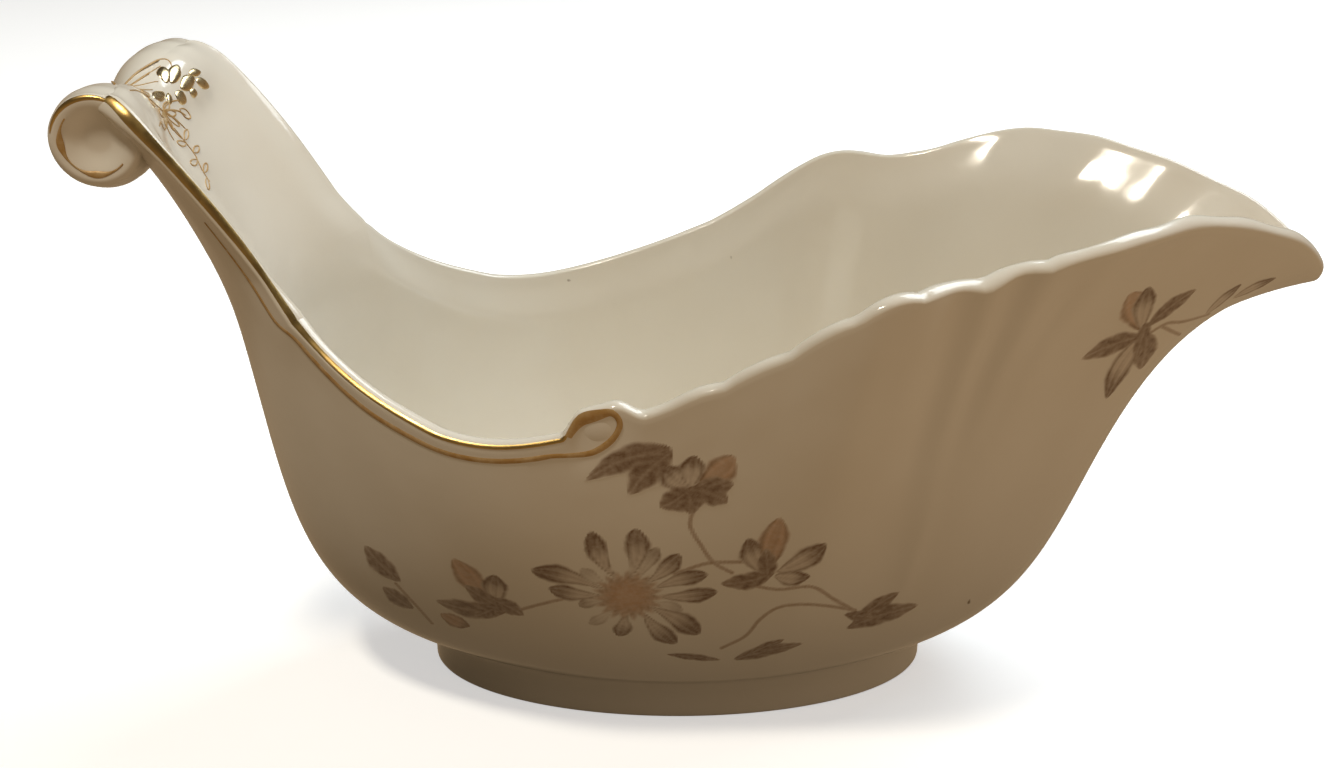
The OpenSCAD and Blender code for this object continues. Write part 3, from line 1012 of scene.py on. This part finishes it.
# ---- printed flowers
class Sheet:
    """A transfer print on one stretch of the wall: dark and salmon ink over a fine grid of places."""

    def __init__(self, shares, heights, size, side):
        s, t = np.meshgrid(np.linspace(*shares, size[0]), np.linspace(*heights, size[1]), indexing="ij")
        self.points = wall_face(side * s, t)
        self.normals = outside_normal(s, t, side)
        self.places = self.points[..., [0, 2]]
        self.dark, self.salmon, self.cover = np.zeros((3, *s.shape))

    def lay(self, dark, salmon, cover):
        """Lays one shape over what is there; cover is 0 outside its outline."""
        self.dark = mix(self.dark, np.clip(dark, 0, 1), cover)
        self.salmon = mix(self.salmon, np.clip(salmon, 0, 1), cover)
        self.cover = np.maximum(self.cover, cover)

    def build(self, name, material, lift=0.05, sink=0.2):
        """The printed parts of the sheet as a thin closed piece, its edges sunk into the glaze."""
        inked = np.pad(self.cover > 0.02, 1)
        # One more place all round, so that the ink fades out inside the piece.
        spread = np.zeros(self.cover.shape, bool)
        for i, j in np.ndindex(3, 3):
            spread |= inked[i:i + spread.shape[0], j:j + spread.shape[1]]
        cells = spread[:-1, :-1] & spread[1:, :-1] & spread[:-1, 1:] & spread[1:, 1:]
        around = np.pad(cells, 1)
        inside = around[:-1, :-1] & around[1:, :-1] & around[:-1, 1:] & around[1:, 1:]
        faces, used = sheet_faces(cells)
        height = np.where(inside, lift, -0.05)[..., None]
        normals = self.normals[used]
        top = (self.points + self.normals * height)[used]
        base = (self.points - self.normals * sink)[used]
        ink = np.stack([self.dark, self.salmon, 0 * self.dark, 1 + 0 * self.dark], -1)[used]
        make_piece(name, np.vstack([top, base]), facing(faces, top, normals), material, "porcelain",
                   colours=np.vstack([ink, ink]), normals=np.vstack([normals, normals]))


def strokes(a, b, count):
    """Fine pencil strokes that run along a petal."""
    return 0.5 + 0.3 * np.cos(b * count * math.pi + a) + 0.2 * np.cos(b * count * 2.3 * math.pi + 5 * a)


def petal_ink(a, b):
    """Pale petal with a dark outline, a dark tip and fine strokes."""
    line = hump(np.abs(b), 0.8, 0.2)
    return 0.1 + 0.62 * ease(0.45, 0.85, a) + 0.4 * line + 0.34 * strokes(a, b, 3), 0.25 + 0 * a


def leaf_ink(a, b):
    """Dark leaf with a paler vein and slanting strokes."""
    ribs = 0.5 + 0.5 * np.cos(22 * a - 6 * np.abs(b))
    return 0.95 - 0.26 * hump(b, 0, 0.14) - 0.34 * ribs * np.abs(b) - 0.2 * ease(0.6, 1, a), 0.4 + 0 * a


def bud_ink(a, b):
    """Salmon petal with a dark edge and a dark base."""
    line = hump(np.abs(b), 0.84, 0.18)
    return 0.1 + 0.42 * line + 0.24 * strokes(a, b, 2) + 0.6 * ease(0.45, 0.05, a), 0.9 + 0 * a


def lay_petal(sheet, base, tip, width, ink, bow=0.0, full=0.5, strength=1.0):
    """A petal or leaf from base to tip; full is where along it the petal is widest."""
    base, run = np.array(base, float), np.subtract(tip, base)
    length = np.linalg.norm(run)
    away = sheet.places - base
    a = away @ run / length ** 2
    b = away @ np.array([-run[1], run[0]]) / length - bow * np.sin(math.pi * np.clip(a, 0, 1))
    # The power puts the widest place at full instead of half way.
    widest = math.log(0.5) / math.log(full)
    swell = np.sin(math.pi * np.clip(a, 1e-4, 1 - 1e-4) ** widest) ** 0.85
    b = b / (width / 2 * swell + 0.05)
    ragged = 0.05 * np.sin(a * 17 + b) + 0.02 * np.sin(a * 47 + 2)
    cover = (1 - ease(0.72, 1.12, np.abs(b) + ragged)) * ease(-0.01, 0.05, a) * (1 - ease(0.94, 1.01, a))
    dark, salmon = ink(a, b)
    sheet.lay(dark * strength, salmon * strength, cover)


def lay_stem(sheet, places, width=0.7, strength=0.5):
    """A thin drawn line through the places."""
    line = curve_through(places, 0.5)
    lo, hi = line.min(0) - width, line.max(0) + width
    near = ((sheet.places > lo) & (sheet.places < hi)).all(-1)
    gap = np.linalg.norm(sheet.places[near][:, None] - line, axis=-1).min(1)
    cover = np.zeros(near.shape)
    cover[near] = 1 - ease(0.25, 0.75, gap / width)
    fresh = cover * (sheet.cover < 0.5)
    sheet.lay(strength + 0 * cover, 0.5 + 0 * cover, fresh)


DAISY = np.array([-7.0, 31.2])
DISC_R = 5.0
# Each petal of the daisy: direction in degrees, length from the middle, width, bow and strength.
DAISY_PETALS = [
    (112, 14.8, 3.7, 0.8, 1.0), (64, 11.5, 3.0, 0.4, 0.6), (84, 14.3, 4.2, -0.6, 0.9),
    (47, 12.2, 3.4, -0.5, 0.9), (20, 13.6, 3.4, 0.5, 0.9), (3, 14.4, 3.4, -0.6, 1.0),
    (-22, 9.5, 2.8, 0.3, 0.4), (-38, 14.8, 4.4, 0.7, 1.0), (-56, 13.8, 3.8, -0.5, 0.95),
    (-100, 9.8, 3.2, 0.4, 0.85), (-133, 9.4, 2.4, 0.3, 0.35), (-164, 8.4, 2.6, -0.3, 0.6),
    (174, 12.8, 3.6, 0.6, 0.9), (161, 16.2, 4.2, -0.9, 1.0), (141, 9.5, 2.6, 0.3, 0.35)]


def lay_daisy(sheet):
    start, full = 3, 0.7
    for turn, length, width, bow, strength in DAISY_PETALS:
        way = np.array([math.cos(math.radians(turn)), math.sin(math.radians(turn))])
        lay_petal(sheet, DAISY + way * start, DAISY + way * length, width, petal_ink, bow, full, strength)
    # The stippled salmon middle.
    away = sheet.places - DAISY
    far_out = np.linalg.norm(away, axis=-1) / DISC_R
    turn = np.arctan2(away[..., 1], away[..., 0])
    stipple = 0.5 + 0.5 * np.sin(turn * 13 + far_out * 9) * np.sin(far_out * 17 + turn * 4)
    fringe = 0.12 * np.sin(turn * 19)
    dark = 0.1 + 0.42 * stipple * ease(0.2, 0.9, far_out)
    salmon = 1 - 0.35 * ease(0.5, 1, far_out)
    sheet.lay(dark, salmon, (1 - ease(0.8, 1.12, far_out + fringe)) * 0.95)


# Petals and leaves as base, tip, width, ink, bow, and where along it each is widest if not half way.
# Bases and tips are (x, z) places on the wall.
MAIN_PETALS = [
    # the dark leaf and the open flower under the C scroll
    ((0.2, 59.8), (-13.1, 54.3), 4.6, leaf_ink, -1.1, 0.4),
    ((0.2, 59.5), (-6.5, 51.6), 5.0, leaf_ink, -0.6),
    ((2.6, 52.6), (-1.4, 56.8), 4.4, petal_ink, 0.4, 0.55),
    ((2.8, 52.6), (3.4, 58.8), 4.2, petal_ink, 0.2, 0.55),
    ((3.4, 52.6), (9.4, 58.6), 4.8, bud_ink, -0.5, 0.62), ((3.0, 52.6), (9.4, 53.6), 4.2, leaf_ink, -0.4),
    ((2.6, 52.6), (8.6, 50.0), 4.6, leaf_ink, 0.5), ((3.2, 52.8), (-2.0, 49.2), 4.8, leaf_ink, 0.5),
    ((2.4, 52.4), (3.0, 47.8), 4.2, leaf_ink, 0.0),
    # the three-petalled bud to the right of the daisy
    ((14.8, 35.6), (11.8, 43.2), 4.4, petal_ink, 0.6, 0.55),
    ((15.2, 35.6), (16.6, 47.2), 4.6, bud_ink, 0.3, 0.6),
    ((16.0, 35.6), (24.2, 41.2), 4.6, petal_ink, -0.6, 0.6),
    ((16.0, 35.0), (22.0, 34.4), 3.6, petal_ink, -0.4), ((16.2, 35.8), (7.6, 33.6), 3.8, leaf_ink, 0.6),
    ((15.2, 34.6), (14.6, 41.0), 3.2, leaf_ink, 0.0, 0.45),
    # the leaves at the right and along the bottom
    ((28.8, 20.8), (41.2, 23.6), 4.6, leaf_ink, 0.7), ((29.8, 22.0), (37.4, 27.8), 3.2, leaf_ink, 0.2),
    ((28.2, 24.4), (33.4, 22.6), 2.4, leaf_ink, 0.0), ((-1.0, 17.2), (8.2, 15.4), 1.7, leaf_ink, 0.1),
    ((10.2, 15.4), (21.8, 18.4), 3.2, leaf_ink, 0.5, 0.45),
    ((12.4, 16.4), (18.6, 20.0), 2.0, leaf_ink, 0.2),
    # the bud at the left and the sprig beyond it
    ((-29.6, 26.6), (-35.0, 36.4), 5.0, bud_ink, -0.3, 0.6),
    ((-28.4, 26.8), (-28.2, 34.4), 4.6, petal_ink, 0.2, 0.6),
    ((-26.6, 26.0), (-39.2, 25.4), 4.4, leaf_ink, 0.8), ((-27.2, 26.4), (-33.6, 30.8), 3.6, leaf_ink, 0.3),
    ((-29.4, 28.6), (-24.0, 25.4), 3.6, leaf_ink, 0.2), ((-28.6, 26.6), (-32.6, 23.4), 2.8, leaf_ink, 0.2),
    ((-45.1, 27.7), (-50.9, 34.0), 5.0, leaf_ink, 0.4), ((-43.5, 21.7), (-48.8, 25.3), 4.2, leaf_ink, 0.3),
    ((-33.6, 20.4), (-38.8, 22.2), 3.6, bud_ink, 0.2)]
MAIN_STEMS = [
    [(3.2, 48.5), (2.8, 45.5), (4.6, 41.5), (6.5, 38.2), (9.4, 36.0)],
    [(0.6, 36), (3.6, 37.4), (6.5, 38.2), (12.5, 38.2)],
    [(13, 33), (17, 32), (22.3, 32), (26.2, 28.4), (29.6, 25.2)],
    [(30, 25), (24.8, 27.2), (20.6, 28.2), (17, 27.8), (14.2, 25.2), (12, 21.4), (8.2, 18.6)],
    [(-25.6, 26.2), (-22, 28.2), (-18.6, 29.8), (-14.6, 31.2)],
    [(-46, 27), (-42.8, 22.6), (-40.6, 19)]]
SPOUT_PETALS = [
    ((76.0, 68.8), (71.0, 78.2), 6.0, bud_ink, -0.3, 0.6),
    ((75.8, 69.0), (74.4, 78.6), 4.4, petal_ink, 0.4, 0.6),
    ((76.4, 69.8), (84.4, 75.8), 3.4, leaf_ink, 0.4), ((76.4, 68.2), (64.6, 66.8), 4.2, leaf_ink, -0.5),
    ((76.4, 68.6), (71.6, 56.6), 5.2, petal_ink, -0.8), ((76.6, 69.0), (77.8, 60.6), 5.0, leaf_ink, 0.4),
    ((76.2, 71.0), (76.0, 63.0), 3.0, leaf_ink, 0.0, 0.4),
    ((88.6, 68.8), (93.8, 74.8), 2.6, petal_ink, 0.2), ((93.4, 71.4), (100.6, 74.8), 2.4, petal_ink, 0.2)]
SPOUT_STEMS = [
    [(77.4, 68.4), (80.6, 69.6), (84.0, 69.0), (89.6, 68.8)], [(80.0, 69.0), (82.6, 67.2), (84.4, 66.0)]]


def build_flowers(material):
    for side, word in SIDES:
        main = Sheet((0.27, 0.86), (0.05, 0.96), (520, 240), side)
        spout = Sheet((0.06, 0.36), (0.46, 0.985), (260, 230), side)
        for sheet, petals, stems in ((main, MAIN_PETALS, MAIN_STEMS), (spout, SPOUT_PETALS, SPOUT_STEMS)):
            for petal in petals:
                lay_petal(sheet, *petal)
            if sheet is main:
                lay_daisy(sheet)
            for stem in stems:
                lay_stem(sheet, stem)
        main.build("flower_print_" + word, material)
        spout.build("spout_print_" + word, material)


# ---- gold sprig inside the tongue
# In (y, run) places: run is the way along the surface in mm from the tongue's end, and is below zero
# towards the bowl.
HEART = (-2.2, -6.0)
SPRIG_LINES = [
    [(-4.0, 1.6), (0.6, 2.6), (4.6, 2.4), (7.6, 1.2), (10.6, -0.2), (9.6, -2.0), (7.2, -3.0)],
    [(-4.0, 1.6), (1.4, 1.2), (5.0, 0.4), (8.2, -0.8)],
    [(-15.0, 0.6), (-10.6, 1.8), (-4.0, 1.6), (0.6, 0.2), (3.8, -2.0)],
    [(-12.6, -1.2), (-7.6, -1.4), (-3.2, -1.2), (0.4, -2.2)],
    [(-16.0, -2.4), (-11.0, -3.2), (-6.0, -4.6), HEART],
    [HEART, (0.4, -5.4), (3.0, -5.8), (5.0, -6.8)],
    [HEART, (0.6, -6.4), (3.0, -7.6), (4.4, -9.2)],
    [HEART, (-0.2, -7.2), (1.2, -8.8), (2.0, -10.4)],
    [HEART, (-2.4, -7.8), (-2.2, -9.6), (-1.2, -11.2)],
    [HEART, (-4.0, -7.6), (-5.0, -9.4), (-4.8, -11.2)],
    [(-4.4, -8.6), (-7.8, -9.6), (-10.2, -8.6), (-12.6, -9.4)],
    [(-1.6, -9.2), (-0.6, -12.2), (-0.2, -14.6), (-1.0, -17.0), (-0.8, -19.4)]]
# Raised petals of the sprig: base, tip and width, in the same places.
SPRIG_PETALS = [
    ((4.6, -3.2), (8.2, -1.0), 2.6), ((5.4, -3.8), (10.4, -3.0), 2.4), ((6.4, -5.6), (11.0, -6.4), 2.6),
    ((10.6, -6.8), (13.6, -9.6), 2.0), ((10.2, -5.2), (13.4, -6.6), 1.6), ((4.6, -5.2), (6.4, -8.0), 2.4),
    ((2.6, -3.8), (-2.4, -3.4), 2.2), ((8.0, -7.2), (9.6, -8.8), 1.6), ((3.4, -4.4), (1.6, -5.8), 1.6)]
# Petals and leaves drawn only in outline.
SPRIG_OUTLINES = [
    (HEART, (2.0, -5.4), 1.3), (HEART, (2.2, -7.6), 1.3), (HEART, (1.0, -9.6), 1.3),
    (HEART, (-2.4, -9.8), 1.3), (HEART, (-5.4, -8.8), 1.3), ((-3.2, -2.6), (-7.4, -2.6), 1.6),
    ((-6.6, -4.6), (-10.2, -5.6), 1.6), ((-2.6, -6.2), (-6.2, -6.6), 1.5), ((3.6, -7.6), (5.6, -10.4), 1.5),
    ((-0.4, -11.6), (2.8, -10.8), 1.1), ((-0.5, -12.2), (-4.2, -11.6), 1.1),
    ((-0.2, -14.0), (3.0, -14.2), 1.1), ((-0.5, -15.4), (-4.2, -15.6), 1.1),
    ((-0.9, -17.6), (2.2, -17.0), 1.1), ((-0.8, -18.6), (-3.4, -20.6), 1.1)]


def petal_frame(base, tip):
    """A petal's base, its run to the tip and the way across it."""
    base, run = np.array(base, float), np.subtract(tip, base)
    return base, run, np.array([-run[1], run[0]]) / np.linalg.norm(run)


def petal_outline(base, tip, width, count=24):
    """Places once round the outline of a petal."""
    a = np.concatenate([np.linspace(0, 1, count), np.linspace(1, 0.03, count)[1:]])
    turn = np.repeat([1, -1], [count, count - 1])
    base, run, sideways = petal_frame(base, tip)
    return base + run * a[:, None] + sideways * (np.sin(math.pi * a) ** 0.8 * turn * width / 2)[:, None]


def raised_petal(base, tip, width, rows=14, cols=9):
    """A small domed petal of relief gold."""
    a, b = np.meshgrid(np.linspace(0, 1, rows), np.linspace(-1, 1, cols), indexing="ij")
    base, run, sideways = petal_frame(base, tip)
    swell = np.sin(math.pi * a) ** 0.75 * 0.96 + 0.04
    p, n = on_tongue(base + run * a[..., None] + sideways * (swell * b * width / 2)[..., None])
    rise = 0.3 * np.sqrt(np.clip(1 - b ** 2, 0, 1)) * np.sin(math.pi * a) ** 0.5
    top, base = (p + n * (rise - 0.03)[..., None]).reshape(-1, 3), (p - n * 0.2).reshape(-1, 3)
    faces = sheet_faces(np.ones((rows - 1, cols - 1), bool))[0]
    return np.vstack([top, base]), facing(faces, top, n.reshape(-1, 3))


def build_sprig(line_gold, petal_gold):
    """Gilt flowers and leaves inside the top of the tongue."""
    parts = []
    lines = [curve_through(places, 0.4) for places in SPRIG_LINES]
    for places in lines + [resampled(petal_outline(*each), 0.35) for each in SPRIG_OUTLINES]:
        p, n = on_tongue(places)
        widths = 0.36 * (0.4 + 0.6 * np.sin(np.linspace(0.2, math.pi - 0.1, len(p))))
        parts.append(ribbon(smoothed(p, 3) + n * 0.03, n, widths, 0.1))
    make_piece("tongue_sprig_lines", *joined(parts), line_gold, "gilding", sharp=80)
    make_piece("tongue_sprig_petals", *joined([raised_petal(*petal_shape) for petal_shape in SPRIG_PETALS]),
               petal_gold, "gilding", sharp=80)


# ---- stage
FLOOR_HALF = 3.0
CARD_Z = -0.0005


def build_sheet(name, low, high, z):
    """A flat sheet of the stage, from its low corner to its high one, with its material's nodes."""
    mesh = bpy.data.meshes.new(name)
    mesh.from_pydata([(*low, z), (high[0], low[1], z), (*high, z), (low[0], high[1], z)], [], [(0, 1, 2, 3)])
    nodes = Nodes(name)
    mesh.materials.append(nodes.material)
    return shown(name, mesh), nodes


def build_stage():
    floor, nodes = build_sheet("floor", (-FLOOR_HALF, -FLOOR_HALF), (FLOOR_HALF, FLOOR_HALF), 0)
    nodes.look(Base_Color=(0.86, 0.86, 0.85, 1), Roughness=0.9, Emission_Color=(1, 1, 1, 1),
               Emission_Strength=0.55)
    # The floor catches the shadow but throws no light back up, so the underside stays in shade.
    floor.visible_diffuse = False
    floor.visible_glossy = False
    # A dark card just under the floor keeps the light from below off the foot, as a table top would.
    card, nodes = build_sheet("dark_card", (-0.11, -0.07), (0.09, 0.06), CARD_Z)
    nodes.look(Base_Color=(0.02, 0.02, 0.02, 1), Specular_IOR_Level=0)
    card.visible_glossy = False


def area_light(name, place, aim, size, watts, colour):
    data = bpy.data.lights.new(name, "AREA")
    data.shape = "RECTANGLE"
    data.size, data.size_y = size
    data.energy = watts
    data.color = colour
    light = shown(name, data)
    light.location = place
    light.rotation_euler = (Vector(aim) - Vector(place)).to_track_quat("-Z", "Y").to_euler()
    return light


def build_lights():
    area_light("overhead", place=(-0.30, -0.32, 1.0), aim=(0.02, 0, 0.08), size=(0.15, 0.12),
               watts=5.3, colour=(1.0, 0.92, 0.78))
    area_light("back_right", place=(0.55, 0.40, 0.95), aim=(0, 0, 0.05), size=(0.9, 0.6),
               watts=9.6, colour=(0.91, 1.0, 1.06))
    fill = area_light("low_right", place=(0.55, -0.45, 0.05), aim=(0.07, 0, 0.06), size=(0.3, 0.3),
                      watts=1.05, colour=(1.0, 0.74, 0.50))
    # The fill light stands for the room's own soft light, which leaves no spot on the glaze.
    fill.visible_glossy = False


LOW_ROOM = (0.315, 0.218, 0.125, 1)
HIGH_ROOM = (0.06, 0.05, 0.038, 1)


def build_room():
    """A warm room: brown round and below the boat, and dimmer overhead."""
    world = bpy.data.worlds.new("room")
    bpy.context.scene.world = world
    world.use_nodes = True
    tree = world.node_tree
    way, parts, rise = (tree.nodes.new("ShaderNode" + kind)
                        for kind in ("TexCoord", "SeparateXYZ", "MapRange"))
    wire(parts, Vector=way.outputs["Generated"])
    wire(rise, From_Min=-0.2, From_Max=0.5, Value=parts.outputs["Z"])
    wire(tree.nodes["Background"], Color=blended(tree, rise.outputs["Result"], LOW_ROOM, HIGH_ROOM),
         Strength=1)


# The photo's camera: about 0.3 m away, looking down 21.3 degrees.
CAMERA_PLACE = (-MID_X * MM, -0.26156, 0.155)
CAMERA_TILT = 68.7
LENS = 42.86


def build_camera():
    data = bpy.data.cameras.new("camera")
    data.lens = LENS
    data.sensor_width = 36
    data.clip_start = 0.01
    camera = shown("camera", data)
    camera.location = CAMERA_PLACE
    camera.rotation_euler = (math.radians(CAMERA_TILT), 0, 0)
    bpy.context.scene.camera = camera


def build_all():
    glaze, ochre = glaze_material(), worn_gilding_material()
    build_bowl(glaze)
    build_tongue(glaze)
    build_scroll(glaze)
    build_foot(foot_material())
    build_rim_scroll(glaze)
    build_gilding(gold_material("burnished_gold", BURNISHED_GOLD, 0.27), ochre)
    build_volutes(ochre)
    build_flowers(print_material())
    build_sprig(ochre, gold_material("relief_gold", RELIEF_GOLD, 0.2))
    build_stage()
    build_lights()
    build_room()
    build_camera()


build_all()
bpy.context.scene.view_settings.view_transform = "Standard"
